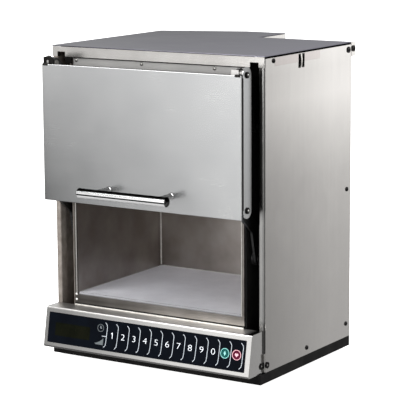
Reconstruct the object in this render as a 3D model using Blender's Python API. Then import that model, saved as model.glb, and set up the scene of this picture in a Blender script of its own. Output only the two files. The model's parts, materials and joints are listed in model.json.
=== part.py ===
"""Countertop microwave oven with a lift-up door, modelled with the door raised.

Lengths are metres and +Z is up. Inside the functions, x is 0 at the middle, y is 0 at the
cabinet's front plane and grows towards the rear, and z is 0 at the lower edge of the steel
casing. One empty, "oven_frame", carries that system: it puts the model's origin at the middle
of its footprint, on the surface that it stands on.
"""

import math

import bmesh
import bpy
from mathutils import Vector
from mathutils.geometry import delaunay_2d_cdt

MM = 0.001

# Cabinet
HALF_WIDTH = 210 * MM
CASE_HEIGHT = 519 * MM
RIGHT_DEPTH = 295 * MM
REAR_DEPTH = 392 * MM
LEFT_DEPTH = 334 * MM
NOTCH_X = 23.5 * MM
CORNER_X = -57 * MM
BASE_HEIGHT = 17.5 * MM
BASE_LEAD = 13 * MM
FOOT_HEIGHT = 6.5 * MM
SHEET = 1.2 * MM
COVER_SHEET = 1.6 * MM
GAP = 0.3 * MM
SEAM = 3 * MM
BEND = 1.6 * MM

# Front: cooking cavity, arm slots and control panel
OPENING_HALF = 165.5 * MM
SLOT_INNER = 171.5 * MM
SLOT_OUTER = 199 * MM
SLOT_DEPTH = 60 * MM
FLOOR_TOP = 92 * MM
OPENING_TOP = 283 * MM
CAVITY_DEPTH = 262 * MM
CAVITY_CEILING = 291 * MM
FRAME_RISE = 13 * MM
RAIL_BOTTOM = 500.5 * MM
SLOT_TOP = 508.5 * MM
CHANNEL_INNER = 173.5 * MM
CHANNEL_OUTER = 206.5 * MM
PANEL_HALF = 206.6 * MM
PANEL_TOP = 69.9 * MM
PANEL_REACH_TOP = 34.1 * MM
PANEL_REACH_BOTTOM = 46.6 * MM
PANEL_WALL = 1.5 * MM
FILM_LEFT = -199 * MM
FILM_RIGHT = 197.5 * MM
FILM_HALF_HEIGHT = 26.2 * MM
FILM_MIDDLE = 35.7 * MM
FILM_THICKNESS = 0.8 * MM

# Door, raised
DOOR_HALF = 196 * MM
DOOR_BOTTOM = 259.8 * MM
DOOR_TOP = 491.6 * MM
DOOR_FRONT = -48.4 * MM
SKIN = 2 * MM
CORE_HALF = 195.2 * MM
DOOR_REAR = -18 * MM
SIDE_SHEET = 1.5 * MM
DOOR_PIVOT_Y = -30.5 * MM
LOWER_PIVOT_Z = 273.7 * MM
UPPER_PIVOT_Z = 491.4 * MM
EAR_RADIUS = 13 * MM

# Lift arms: the cabinet pivot lies behind and below the door pivot
ARM_BACK = 56.5 * MM
ARM_DROP = 89.7 * MM
ELBOW_BACK = 45.2 * MM
ELBOW_DROP = 36.6 * MM
ARM_HALF = 10.5 * MM
ARM_INNER = 180 * MM
ARM_OUTER = 184 * MM
PIN_END = 178 * MM
PIN_RADIUS = 4 * MM
BORE_RADIUS = 4.45 * MM
PIN_HEAD_RADIUS = 5.3 * MM

# Handle
BAR_HALF = 87 * MM
BAR_RADIUS = 8 * MM
CAP_RADIUS = 8.4 * MM
CAP_WIDTH = 2.5 * MM
POST_X = 62 * MM
HANDLE_Z = 288 * MM
BAR_Y = -98 * MM

STEEL = ((0.62, 0.61, 0.59), 0.3, 1.0)
DARK_STEEL = ((0.33, 0.33, 0.35), 0.32, 1.0)
LINER_STEEL = ((0.45, 0.42, 0.39), 0.35, 1.0)
CHROME = ((0.8, 0.8, 0.8), 0.12, 1.0)
ZINC = ((0.6, 0.6, 0.58), 0.45, 1.0)
BLACK_PAINT = ((0.02, 0.02, 0.022), 0.45, 0.0)
BLACK_PLASTIC = ((0.025, 0.025, 0.027), 0.5, 0.0)
RUBBER = ((0.03, 0.03, 0.03), 0.8, 0.0)
MEMBRANE = ((0.015, 0.02, 0.035), 0.2, 0.0)
CERAMIC = ((0.62, 0.62, 0.63), 0.3, 0.0)
MICA = ((0.72, 0.7, 0.64), 0.6, 0.0)
BOARD = ((0.05, 0.22, 0.1), 0.5, 0.0)
GLASS = ((0.9, 0.88, 0.8), 0.1, 0.0)

# The kind of fill that delaunay_2d_cdt makes when it keeps to the inside of an outline.
INSIDE_OUTLINE = 1

# How a point (u, v) of an outline and a distance w along its axis become x, y and z.
PLACE = {
    "X": lambda u, v, w: Vector((w, u, v)),
    "Y": lambda u, v, w: Vector((u, w, v)),
    "Z": lambda u, v, w: Vector((u, v, w)),
}


def clear_scene():
    for found in list(bpy.data.objects):
        bpy.data.objects.remove(found)


def material(name, look):
    colour, roughness, metallic = look
    made = bpy.data.materials.new(name)
    made.use_nodes = True
    shader = made.node_tree.nodes["Principled BSDF"]
    shader.inputs["Base Color"].default_value = (*colour, 1)
    shader.inputs["Roughness"].default_value = roughness
    shader.inputs["Metallic"].default_value = metallic
    return made


def empty(name, place, parent=None):
    """A hidden frame at place, in the oven's own x, y and z."""
    made = bpy.data.objects.new(name, None)
    bpy.context.scene.collection.objects.link(made)
    made["place"] = place
    made.parent = parent
    made.location = Vector(place) - Vector(parent["place"] if parent else (0, 0, 0))
    return made


def finish(mesh, name, look, parent, smooth_angle=30):
    """Turns a bmesh drawn in oven coordinates into an object whose origin is its parent's."""
    bmesh.ops.recalc_face_normals(mesh, faces=mesh.faces)
    if mesh.calc_volume(signed=True) < 0:
        bmesh.ops.reverse_faces(mesh, faces=mesh.faces)
    bmesh.ops.translate(mesh, verts=mesh.verts, vec=-Vector(parent["place"]))
    data = bpy.data.meshes.new(name)
    mesh.to_mesh(data)
    mesh.free()
    data.materials.append(material(name, look))
    data.shade_smooth()
    data.set_sharp_from_angle(angle=math.radians(smooth_angle))
    made = bpy.data.objects.new(name, data)
    bpy.context.scene.collection.objects.link(made)
    made.parent = parent
    return made


def arc(centre, radius, start, stop, steps):
    """Points along an arc, with the angles in degrees."""
    angles = [math.radians(start + (stop - start) * i / steps) for i in range(steps + 1)]
    return [(centre[0] + radius * math.cos(a), centre[1] + radius * math.sin(a)) for a in angles]


def circle(centre, radius, steps=24):
    return arc(centre, radius, 0, 360, steps)[:-1]


def rectangle(low, high):
    return [low, (high[0], low[1]), high, (low[0], high[1])]


def rounded_rectangle(low, high, radius, steps=4):
    (left, bottom), (right, top) = low, high
    corners = (
        ((right - radius, bottom + radius), -90),
        ((right - radius, top - radius), 0),
        ((left + radius, top - radius), 90),
        ((left + radius, bottom + radius), 180),
    )
    return [p for centre, start in corners for p in arc(centre, radius, start, start + 90, steps)]


def rounded_path(points, radius, steps=3):
    """An open path with each inner corner turned into an arc."""
    path = [Vector(points[0])]
    for before, corner, after in zip(points, points[1:], points[2:]):
        corner = Vector(corner)
        inwards = (Vector(before) - corner).normalized()
        outwards = (Vector(after) - corner).normalized()
        half = inwards.angle(outwards) / 2
        centre = corner + (inwards + outwards).normalized() * radius / math.sin(half)
        first = corner + inwards * radius / math.tan(half) - centre
        last = corner + outwards * radius / math.tan(half) - centre
        turn = math.atan2(first.x * last.y - first.y * last.x, first.dot(last))
        start = math.degrees(math.atan2(first.y, first.x))
        path += [Vector(p) for p in arc(centre, radius, start, start + math.degrees(turn), steps)]
    return path + [Vector(points[-1])]


def offset_path(path, distance, closed=False):
    """The path moved sideways, with mitred corners."""
    moved = []
    for i, point in enumerate(path):
        before = path[i - 1] if i or closed else None
        after = path[(i + 1) % len(path)] if i + 1 < len(path) or closed else None
        ways = [(b - a).normalized() for a, b in ((before, point), (point, after)) if a and b]
        along = sum(ways, Vector((0, 0))).normalized()
        side = Vector((-along.y, along.x))
        mitre = Vector((-ways[0].y, ways[0].x)).dot(side)
        moved.append(point + side * distance / mitre)
    return moved


def bent_sheet(points, radius=BEND, thickness=SHEET):
    """The outline of sheet metal folded along a path."""
    path = rounded_path(points, radius)
    return offset_path(path, thickness / 2) + offset_path(path, -thickness / 2)[::-1]


def round_ended_link(points, half_width, elbow_radius, steps=8):
    """The outline of a flat link that follows a path and ends in half circles."""
    path = rounded_path(points, elbow_radius, steps)
    start = path[1] - path[0]
    stop = path[-1] - path[-2]
    stop_angle = math.degrees(math.atan2(stop.y, stop.x))
    start_angle = math.degrees(math.atan2(start.y, start.x))
    far_end = arc(path[-1], half_width, stop_angle + 90, stop_angle - 90, steps)
    near_end = arc(path[0], half_width, start_angle - 90, start_angle - 270, steps)
    left = offset_path(path, half_width)[1:-1]
    right = offset_path(path, -half_width)[1:-1]
    return left + far_end + right[::-1] + near_end


def faces_with_holes(loops):
    """Triangles between an outline and its convex holes, numbering the points of all loops together."""
    flat = [p for loop in loops for p in loop]
    loop_of = [number for number, loop in enumerate(loops) for _ in loop]
    edges = []
    for loop in loops:
        first = len(edges)
        edges += [(first + i, first + (i + 1) % len(loop)) for i in range(len(loop))]
    triangles = delaunay_2d_cdt(flat, edges, [], INSIDE_OUTLINE, 1e-9)[2]
    kept = []
    for triangle in triangles:
        owners = {loop_of[i] for i in triangle}
        if len(owners) > 1 or owners == {0}:
            kept.append(triangle)
    return kept


def prism(name, outline, low, high, axis, look, parent, holes=()):
    """A closed solid with a flat outline, with or without holes, and straight sides."""
    loops = [[Vector(p) for p in loop] for loop in (outline, *holes)]
    flat = [p for loop in loops for p in loop]
    mesh = bmesh.new()
    ends = [[mesh.verts.new(PLACE[axis](p.x, p.y, w)) for p in flat] for w in (low, high)]
    caps = faces_with_holes(loops) if holes else [range(len(flat))]
    for cap in caps:
        for end in ends:
            mesh.faces.new([end[i] for i in cap])
    first = 0
    for loop in loops:
        for i in range(len(loop)):
            a, b = first + i, first + (i + 1) % len(loop)
            mesh.faces.new([ends[0][a], ends[0][b], ends[1][b], ends[1][a]])
        first += len(loop)
    return finish(mesh, name, look, parent)


def block(name, low, high, look, parent, edge=0.0):
    """A box between two corners, with its edges rounded if edge is given."""
    made = prism(name, rectangle(low[:2], high[:2]), low[2], high[2], "Z", look, parent)
    if edge:
        bevel = made.modifiers.new("rounded_edges", "BEVEL")
        bevel.width = edge
        bevel.segments = 2
        bevel.limit_method = "ANGLE"
    return made


def turned(name, profile, centre, axis, look, parent, steps=24):
    """A turned solid: profile is (radius, distance along the axis) from one end to the other."""
    mesh = bmesh.new()
    line = [mesh.verts.new((radius, 0, along)) for radius, along in profile]
    edges = [mesh.edges.new(pair) for pair in zip(line, line[1:])]
    bmesh.ops.spin(
        mesh,
        geom=line + edges,
        cent=(0, 0, 0),
        axis=(0, 0, 1),
        angle=2 * math.pi,
        steps=steps,
        use_merge=True,
    )
    bmesh.ops.remove_doubles(mesh, verts=mesh.verts, dist=0.001 * MM)
    on_axis = [edge for edge in mesh.edges if edge.is_wire]
    bmesh.ops.delete(mesh, geom=on_axis, context="EDGES")
    for vert in mesh.verts:
        vert.co = PLACE[axis](*vert.co) + Vector(centre)
    return finish(mesh, name, look, parent)


def boolean(target, tool, operation):
    """Cuts the tool from the target, or joins it on; the tool itself isn't part of the oven."""
    tool.hide_render = True
    tool.display_type = "WIRE"
    change = target.modifiers.new(tool.name, "BOOLEAN")
    change.operation = operation
    change.object = tool


def cut(target, *tools):
    for tool in tools:
        boolean(target, tool, "DIFFERENCE")


def join(target, *tools):
    for tool in tools:
        boolean(target, tool, "UNION")


def slots(low, high, columns, rows, width, height):
    """Outlines of a grid of round-ended vent slots that fills a rectangle."""
    found = []
    for column in range(columns):
        for row in range(rows):
            u = low[0] + (high[0] - low[0]) * (column + 0.5) / columns
            v = low[1] + (high[1] - low[1]) * (row + 0.5) / rows
            corner = (u - width / 2, v - height / 2)
            opposite = (u + width / 2, v + height / 2)
            found.append(rounded_rectangle(corner, opposite, 0.49 * min(width, height), 2))
    return found


def plan(depth_gap=0.0):
    """The casing's outline seen from above, drawn in by depth_gap."""
    corners = [
        (-HALF_WIDTH, 0),
        (HALF_WIDTH, 0),
        (HALF_WIDTH, RIGHT_DEPTH),
        (NOTCH_X, RIGHT_DEPTH),
        (NOTCH_X, REAR_DEPTH),
        (CORNER_X, REAR_DEPTH),
        (-HALF_WIDTH, LEFT_DEPTH),
    ]
    return offset_path([Vector(c) for c in corners], depth_gap, closed=True)


# Base and casing


def base_pan(frame):
    """The shallow black tray under the casing, which leads the front by a little."""
    wall = 1.5 * MM
    outline = plan()
    outline[0].y = outline[1].y = -BASE_LEAD
    inside = offset_path(outline, wall, closed=True)
    pan = prism("base_pan", outline, -BASE_HEIGHT, -GAP, "Z", BLACK_PAINT, frame)
    cut(pan, prism("base_hollow", inside, wall - BASE_HEIGHT, BASE_HEIGHT, "Z", BLACK_PAINT, frame))


def feet(frame):
    near, inset, radius = 22 * MM, 34 * MM, 15 * MM
    profile = [
        (0, -FOOT_HEIGHT),
        (radius - 2 * MM, -FOOT_HEIGHT),
        (radius, -4 * MM),
        (radius, -GAP),
        (0, -GAP),
    ]
    spots = {
        "front_left": (-HALF_WIDTH + inset, near),
        "front_right": (HALF_WIDTH - inset, near),
        "rear_left": (-HALF_WIDTH + inset, RIGHT_DEPTH - inset),
        "rear_right": (HALF_WIDTH - inset, RIGHT_DEPTH - inset),
    }
    for spot, (x, y) in spots.items():
        turned("foot_" + spot, profile, (x, y, -BASE_HEIGHT), "Z", RUBBER, frame, steps=16)


def side_panels(frame):
    """The two flat sides. The right one has a pair of upright slots near its top."""
    top = CASE_HEIGHT - 4.5 * MM
    slot_width, slot_top, slot_bottom = 5.5 * MM, top - 2 * MM, top - 23 * MM
    pair = [
        rounded_rectangle((y, slot_bottom), (y + slot_width, slot_top), 2 * MM)
        for y in (111 * MM, 123 * MM)
    ]
    right = rectangle((SEAM, 0), (RIGHT_DEPTH - SHEET - GAP, top))
    left = rectangle((SEAM, 0), (LEFT_DEPTH - 2 * MM, top))
    prism("side_panel_right", right, HALF_WIDTH - SHEET, HALF_WIDTH, "X", STEEL, frame, pair)
    prism("side_panel_left", left, -HALF_WIDTH, -HALF_WIDTH + SHEET, "X", STEEL, frame)


def top_cover(frame):
    cover = prism("top_cover", plan(), CASE_HEIGHT - COVER_SHEET, CASE_HEIGHT, "Z", DARK_STEEL, frame)
    bevel = cover.modifiers.new("rounded_edges", "BEVEL")
    bevel.width = 0.5 * MM
    bevel.segments = 2


def front_rail(frame):
    """The band across the top of the front, notched above the arm slots."""
    top, end = CASE_HEIGHT - COVER_SHEET - GAP, HALF_WIDTH - 0.5 * MM
    notch = SLOT_OUTER - 16 * MM
    right_half = [
        (end, top),
        (end, RAIL_BOTTOM),
        (SLOT_OUTER, RAIL_BOTTOM),
        (SLOT_OUTER, SLOT_TOP),
        (notch, SLOT_TOP),
        (notch, RAIL_BOTTOM),
    ]
    outline = right_half + [(-x, z) for x, z in right_half[::-1]]
    prism("front_rail", outline, 0, SHEET, "Y", STEEL, frame)


def front_strips(frame):
    """The folded strips between each arm slot and the side panel."""
    inner, outer = SLOT_OUTER + SHEET / 2, HALF_WIDTH - 1.4 * MM - SHEET / 2
    fold = [(inner, 16 * MM), (inner, SHEET / 2), (outer, SHEET / 2), (outer, 14 * MM)]
    for side, name in ((1, "front_strip_right"), (-1, "front_strip_left")):
        outline = bent_sheet([(side * x, y) for x, y in fold])
        prism(name, outline, GAP, RAIL_BOTTOM - GAP, "Z", STEEL, frame)


def upper_front_panel(frame):
    """The recessed panel behind the raised door."""
    edge, recess, rear = SLOT_INNER - SHEET / 2, 6.6 * MM, 15 * MM
    fold = [(-edge, rear), (-edge, recess), (edge, recess), (edge, rear)]
    low = OPENING_TOP + FRAME_RISE + GAP
    prism("upper_front_panel", bent_sheet(fold), low, SLOT_TOP, "Z", STEEL, frame)


def rear_panels(frame):
    """The four sheets of the stepped back, two of them with vents."""
    top = CASE_HEIGHT - COVER_SHEET - GAP
    vents = slots((45 * MM, 330 * MM), (190 * MM, 470 * MM), 3, 8, 38 * MM, 4 * MM)
    outline = rectangle((NOTCH_X + GAP, 0), (HALF_WIDTH, top))
    prism("rear_panel_right", outline, RIGHT_DEPTH - SHEET, RIGHT_DEPTH, "Y", STEEL, frame, vents)

    wall = rectangle((RIGHT_DEPTH - SHEET, 0), (REAR_DEPTH - SHEET - GAP, top))
    prism("rear_side_panel", wall, NOTCH_X - SHEET, NOTCH_X, "X", STEEL, frame)

    grille = slots((-48 * MM, 300 * MM), (14 * MM, 480 * MM), 1, 12, 46 * MM, 5 * MM)
    back = rectangle((CORNER_X + GAP, 0), (NOTCH_X, top))
    prism("rear_panel_middle", back, REAR_DEPTH - SHEET, REAR_DEPTH, "Y", STEEL, frame, grille)

    far, near = Vector((CORNER_X, REAR_DEPTH)), Vector((-HALF_WIDTH, LEFT_DEPTH))
    slope = (near - far).normalized()
    inwards = Vector((-slope.y, slope.x)) * SHEET
    far, near = far + slope * GAP, near - slope * GAP
    corner = [far, near, near + inwards, far + inwards]
    prism("rear_corner_panel", corner, 0, top, "Z", STEEL, frame)


def arm_channels(frame):
    """The housings behind the slots, each with the two studs that its arms turn on."""
    front, strip_rear = 2 * MM, 17 * MM
    stud = [
        (0, CHANNEL_INNER),
        (9 * MM, CHANNEL_INNER),
        (9 * MM, ARM_INNER - GAP),
        (PIN_RADIUS, ARM_INNER - GAP),
        (PIN_RADIUS, ARM_OUTER + GAP),
        (6.5 * MM, ARM_OUTER + GAP),
        (6.5 * MM, ARM_OUTER + 2 * MM),
        (0, ARM_OUTER + 2 * MM),
    ]
    for side, name, look in ((1, "right", BLACK_PAINT), (-1, "left", LINER_STEEL)):
        inner, outer = side * CHANNEL_INNER, side * CHANNEL_OUTER
        fold = [(inner, front), (inner, SLOT_DEPTH), (outer, SLOT_DEPTH), (outer, strip_rear)]
        channel = prism("arm_channel_" + name, bent_sheet(fold), front, SLOT_TOP, "Z", look, frame)
        profile = [(radius, side * x) for radius, x in stud]
        for level, pivot in (("lower", LOWER_PIVOT_Z), ("upper", UPPER_PIVOT_Z)):
            centre = (0, DOOR_PIVOT_Y + ARM_BACK, pivot - ARM_DROP)
            join(channel, turned(f"arm_stud_{level}_{name}", profile, centre, "X", look, frame))


# Cooking cavity


def cavity(frame):
    """The liner with the raised frame round its mouth, the ceramic floor and the antenna's cover."""
    outer, front, floor = OPENING_HALF + SHEET, 2.9 * MM, FLOOR_TOP - 6 * MM
    low = (-outer, front, floor - SHEET)
    high = (outer, CAVITY_DEPTH + SHEET, CAVITY_CEILING + SHEET)
    liner = block("cavity_liner", low, high, LINER_STEEL, frame)
    low = (-OPENING_HALF, -CAVITY_DEPTH, floor)
    high = (OPENING_HALF, CAVITY_DEPTH, CAVITY_CEILING)
    hollow = block("cavity_hollow", low, high, LINER_STEEL, frame)
    bore, under, over = 9 * MM, CAVITY_CEILING - SHEET, CAVITY_CEILING + 3 * SHEET
    profile = [(0, under), (bore, under), (bore, over), (0, over)]
    hole = turned("antenna_hole", profile, (0, CAVITY_DEPTH / 2, 0), "Z", LINER_STEEL, frame)
    cut(liner, hollow, hole)

    side, rear, lip = SLOT_INNER - GAP, 2.5 * MM, 3.5 * MM
    rim = rectangle((-side, PANEL_TOP + 4 * MM), (side, OPENING_TOP + FRAME_RISE))
    mouth = rounded_rectangle((-OPENING_HALF, FLOOR_TOP - lip), (OPENING_HALF, OPENING_TOP), 2 * MM)
    prism("cavity_front_frame", rim, GAP, rear, "Y", LINER_STEEL, frame, [mouth])

    side, near, far = OPENING_HALF - GAP, 3 * MM, CAVITY_DEPTH - GAP
    block("ceramic_floor", (-side, near, floor + GAP), (side, far, FLOOR_TOP), CERAMIC, frame, 0.8 * MM)
    low, high = (-side, near, OPENING_TOP - 3 * MM), (side, far, OPENING_TOP - GAP)
    block("antenna_cover", low, high, MICA, frame)


def antenna(frame):
    """The rotating antenna above the cavity's cover, on its own axis."""
    centre = (0, CAVITY_DEPTH / 2, OPENING_TOP + 3 * MM)
    axis = empty("antenna_axis", centre, frame)
    blades, reach, neck = 4, 74 * MM, 22 * MM
    outline = []
    for blade in range(blades):
        middle = blade * 360 / blades
        outline += arc(centre[:2], reach, middle - 26, middle + 8, 5)
        outline += arc(centre[:2], neck, middle + 20, middle + 40, 2)
    disc = prism("antenna", outline, centre[2], centre[2] + 1.5 * MM, "Z", ZINC, axis)
    shaft = [(0, 0.5 * MM), (3 * MM, 0.5 * MM), (3 * MM, 54 * MM), (0, 54 * MM)]
    join(disc, turned("antenna_shaft", shaft, centre, "Z", ZINC, axis, steps=12))


def feed(frame):
    """The microwave feed above the cavity: magnetron, waveguide and antenna motor."""
    floor = CAVITY_CEILING + SHEET + GAP
    top = floor + 40 * MM
    middle = CAVITY_DEPTH / 2
    half, near, far = 48 * MM, 70 * MM, 200 * MM
    guide = block("waveguide", (-half, near, floor), (half, far, top), ZINC, frame)
    wall = Vector((1.5, 1.5, 1.5)) * MM
    hollow_low = Vector((-half, near, floor - 10 * MM)) + wall
    hollow_high = Vector((half, far, top)) - wall
    under, over = top - 9 * MM, top + 9 * MM
    bore = [(0, under), (5 * MM, under), (5 * MM, over), (0, over)]
    cut(
        guide,
        block("waveguide_hollow", hollow_low, hollow_high, ZINC, frame),
        turned("waveguide_bore", bore, (0, middle, 0), "Z", ZINC, frame, steps=12),
    )
    base = top + GAP
    profile = [
        (4 * MM, base),
        (25 * MM, base),
        (25 * MM, base + 16 * MM),
        (8 * MM, base + 18 * MM),
        (0, base + 18 * MM),
        (0, base + 14 * MM),
        (4 * MM, base + 14 * MM),
        (4 * MM, base),
    ]
    turned("antenna_motor", profile, (0, middle, 0), "Z", ZINC, frame)

    fins, pitch, fin = 9, 7 * MM, 2 * MM
    left, right = half + GAP, half + 86 * MM
    low, high = floor, floor + 95 * MM
    core = left + 30 * MM
    comb = [(left, low), (right, low)]
    for i in range(fins):
        base_z = low + 16 * MM + i * pitch
        comb += [(right, base_z), (core, base_z), (core, base_z + pitch - fin), (right, base_z + pitch - fin)]
    comb += [(right, high), (left, high)]
    prism("magnetron", comb, 95 * MM, 170 * MM, "Y", ZINC, frame)


def power_supply(frame):
    """The high-voltage supply in the deep part of the casing, behind the cavity."""
    x, y, floor = -68 * MM, 325 * MM, 1 * MM
    low, high = (x - 50 * MM, y - 26 * MM, floor), (x + 50 * MM, y + 26 * MM, floor + 84 * MM)
    core = block("transformer", low, high, ZINC, frame)
    low, high = (x - 31 * MM, y - 42 * MM, floor + 17 * MM), (x + 31 * MM, y + 40 * MM, floor + 67 * MM)
    join(core, block("transformer_winding", low, high, ZINC, frame))
    can = rounded_rectangle((-182 * MM, 275 * MM), (-136 * MM, 309 * MM), 16.5 * MM, 6)
    prism("capacitor", can, floor, floor + 95 * MM, "Z", ZINC, frame)


def blower(frame):
    """The cooling blower: a scroll housing, its wheel and the motor that turns it."""
    x, z, front, rear = -95 * MM, 395 * MM, 272 * MM, 328 * MM
    steps, sweep = 30, 310
    scroll = []
    for i in range(steps + 1):
        angle = math.radians(40 - sweep * i / steps)
        radius = (56 + 20 * i / steps) * MM
        scroll.append(Vector((x + radius * math.cos(angle), z + radius * math.sin(angle))))
    outlet_end = x + 75 * MM
    scroll += [Vector((outlet_end, scroll[-1].y)), Vector((outlet_end, z + 45 * MM))]
    housing = prism("blower_housing", scroll, front, rear, "Y", ZINC, frame)
    inside = offset_path(scroll, -SHEET, closed=True)
    inside[-1].x = inside[-2].x = outlet_end + 9 * MM
    cut(housing, prism("blower_hollow", inside, front + SHEET, rear - SHEET, "Y", ZINC, frame))
    for name, radius, wall in (("inlet", 40 * MM, rear), ("bore", 7 * MM, front)):
        under, over = wall - 9 * MM, wall + 9 * MM
        hole = [(0, under), (radius, under), (radius, over), (0, over)]
        cut(housing, turned("blower_" + name, hole, (x, 0, z), "Y", ZINC, frame))

    axis = empty("blower_axis", (x, (front + rear) / 2, z), frame)
    blades, hub, tip = 12, 15 * MM, 46 * MM
    outline = []
    for blade in range(blades):
        middle = -blade * 360 / blades
        outline += arc((x, z), hub, middle + 12, middle + 6, 1)
        outline += arc((x, z), tip, middle - 9, middle - 12, 1)
        outline += arc((x, z), hub, middle - 1, middle - 5, 1)[:1]
    shaft_hole = circle((x, z), 4.3 * MM, 16)
    prism("blower_wheel", outline, front + 6 * MM, rear - 6 * MM, "Y", ZINC, axis, [shaft_hole])
    motor = [
        (0, 214 * MM),
        (30 * MM, 214 * MM),
        (36 * MM, 220 * MM),
        (36 * MM, front - 6 * MM),
        (30 * MM, front - GAP),
        (3.5 * MM, front - GAP),
        (3.5 * MM, rear - 10 * MM),
        (0, rear - 10 * MM),
    ]
    turned("blower_motor", motor, (x, 0, z), "Y", BLACK_PAINT, frame)


def small_electrics(frame):
    """Lamp, door switches and the cable gland."""
    bulb = [(0, 2 * MM), (7 * MM, 2 * MM), (11 * MM, 8 * MM), (11 * MM, 15 * MM), (7 * MM, 21 * MM)]
    bulb += [(0, 21 * MM)]
    turned("cavity_lamp", bulb, (110 * MM, CAVITY_DEPTH, 245 * MM), "Y", GLASS, frame, steps=16)
    for side, name in ((1, "right"), (-1, "left")):
        near, far = sorted((side * 177 * MM, side * 187 * MM))
        low, high = (near, SLOT_DEPTH - 18 * MM, 300 * MM), (far, SLOT_DEPTH - 1 * MM, 328 * MM)
        block("door_switch_" + name, low, high, BLACK_PLASTIC, frame, 0.6 * MM)
    gland = [
        (6 * MM, GAP),
        (14 * MM, GAP),
        (14 * MM, 4 * MM),
        (10 * MM, 6 * MM),
        (9 * MM, 16 * MM),
        (6 * MM, 16 * MM),
        (6 * MM, GAP),
    ]
    turned("cable_gland", gland, (160 * MM, RIGHT_DEPTH, 40 * MM), "Y", BLACK_PLASTIC, frame)


# Control panel


def panel_point(along, proud=0.0):
    """(y, z) of a point on the leaning front, along its slope from the bottom and proud of it."""
    bottom, top = Vector((-PANEL_REACH_BOTTOM, 0)), Vector((-PANEL_REACH_TOP, PANEL_TOP))
    slope = (top - bottom).normalized()
    return bottom + slope * along + Vector((-slope.y, slope.x)) * proud


def control_panel(frame):
    """The leaning housing across the bottom front, its keypad film and the electronics behind it."""
    rear, radius, behind = -0.5 * MM, 3 * MM, 9 * MM
    outside = [(rear, PANEL_TOP), (-PANEL_REACH_TOP, PANEL_TOP), (-PANEL_REACH_BOTTOM, 0), (rear, 0)]
    rounded = rounded_path(outside, radius, 4)
    housing = prism("control_housing", rounded, -PANEL_HALF, PANEL_HALF, "X", STEEL, frame)
    inside = [
        (behind, PANEL_TOP - PANEL_WALL),
        (-PANEL_REACH_TOP + PANEL_WALL, PANEL_TOP - PANEL_WALL),
        (-PANEL_REACH_BOTTOM + 1.3 * PANEL_WALL, PANEL_WALL),
        (behind, PANEL_WALL),
    ]
    end = PANEL_HALF - PANEL_WALL
    cut(housing, prism("housing_hollow", inside, -end, end, "X", STEEL, frame))

    slope = panel_point(1) - panel_point(0)
    middle = panel_point(FILM_MIDDLE, GAP)
    tilt = empty("panel_face", (0, middle.x, middle.y), frame)
    tilt.rotation_euler.x = -math.atan2(slope.x, slope.y)
    low, high = middle.y - FILM_HALF_HEIGHT, middle.y + FILM_HALF_HEIGHT
    corners = rounded_rectangle((FILM_LEFT, low), (FILM_RIGHT, high), 7 * MM, 6)
    prism("control_overlay", corners, middle.x - FILM_THICKNESS, middle.x, "Y", MEMBRANE, tilt)
    for name, left, right, front, depth, half_height, look in (
        ("display_module", -185 * MM, -115 * MM, 4 * MM, 5 * MM, 12 * MM, BLACK_PLASTIC),
        ("control_board", -190 * MM, 190 * MM, 10 * MM, 1.6 * MM, 22 * MM, BOARD),
    ):
        low = (left, middle.x + front, middle.y - half_height)
        high = (right, middle.x + front + depth, middle.y + half_height)
        block(name, low, high, look, tilt)


# Door, handle and arms


def door_shell(door):
    """The door's outer skin, its core, the choke on its rear and its two sides."""
    low, high = (-DOOR_HALF, DOOR_FRONT, DOOR_BOTTOM), (DOOR_HALF, DOOR_FRONT + SKIN, DOOR_TOP)
    block("door_skin", low, high, STEEL, door, 0.6 * MM)

    core_front = DOOR_FRONT + SKIN + GAP
    core_rear = core_front + 1.8 * MM
    bottom, top = DOOR_BOTTOM + 2.5 * MM, DOOR_TOP - 2.5 * MM
    low, high = (-CORE_HALF, core_front, bottom), (CORE_HALF, core_rear, top)
    block("door_core", low, high, BLACK_PAINT, door)

    front, half, wall = core_rear + GAP, OPENING_HALF + 5 * MM, 2.5 * MM
    low, high = (-half, front, bottom + 2 * MM), (half, DOOR_REAR, top)
    choke = block("door_choke", low, high, BLACK_PLASTIC, door, 1 * MM)
    low = (wall - half, front - 9 * MM, bottom + 2 * MM + wall)
    high = (half - wall, DOOR_REAR - wall, top - wall)
    cut(choke, block("choke_hollow", low, high, BLACK_PLASTIC, door))

    for side, name in ((1, "right"), (-1, "left")):
        door_side(side, name, front, door)


def door_side(side, name, front, door):
    """A steel side of the door: a plate with a pivot ear at each end and a flange at its front."""
    outline = arc((DOOR_PIVOT_Y, UPPER_PIVOT_Z), EAR_RADIUS, 0, 180, 10)
    outline += arc((DOOR_PIVOT_Y, LOWER_PIVOT_Z), EAR_RADIUS, 180, 360, 10)
    holes = [circle((DOOR_PIVOT_Y, z), BORE_RADIUS, 16) for z in (LOWER_PIVOT_Z, UPPER_PIVOT_Z)]
    near, far = sorted((side * (DOOR_HALF - SIDE_SHEET), side * DOOR_HALF))
    plate = prism("door_side_" + name, outline, near, far, "X", STEEL, door, holes)
    low, high = LOWER_PIVOT_Z + 3 * MM, UPPER_PIVOT_Z - 6 * MM
    left, right = sorted((side * (OPENING_HALF + 9 * MM), side * (DOOR_HALF - SIDE_SHEET / 2)))
    flange = block("door_flange_" + name, (left, front, low), (right, front + SHEET, high), STEEL, door)
    join(plate, flange)


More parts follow.
